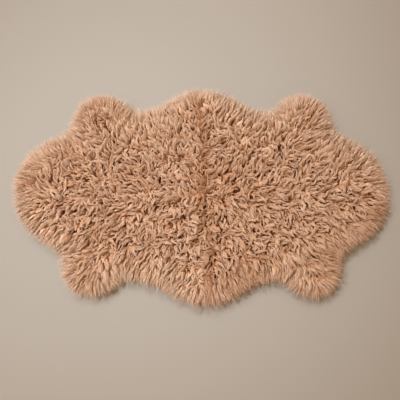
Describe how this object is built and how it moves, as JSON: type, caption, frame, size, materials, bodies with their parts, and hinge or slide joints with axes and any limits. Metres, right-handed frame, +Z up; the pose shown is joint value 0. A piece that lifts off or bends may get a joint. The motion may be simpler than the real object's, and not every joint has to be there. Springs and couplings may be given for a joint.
{
  "type": "fur rug",
  "caption": "Shaped fur rug sewn from pelts end to end, with a curly tan pile and loose locks round a lobed rim; lies flat on a floor",
  "frame": {"origin": "on the floor, under the middle of the rug's outline, at the seam between the pelts", "axes": "+X along the rug from the left pelt's neck to the right pelt's, +Y across it, +Z up out of the pile"},
  "size_m": [1.2004, 0.7032, 0.0442],
  "materials": {
    "fur": "curly tan pile, matt, darker at the roots"
  },
  "bodies": {
    "root": {"pelt_left": "fur", "pelt_right": "fur"}
  },
  "joints": []
}
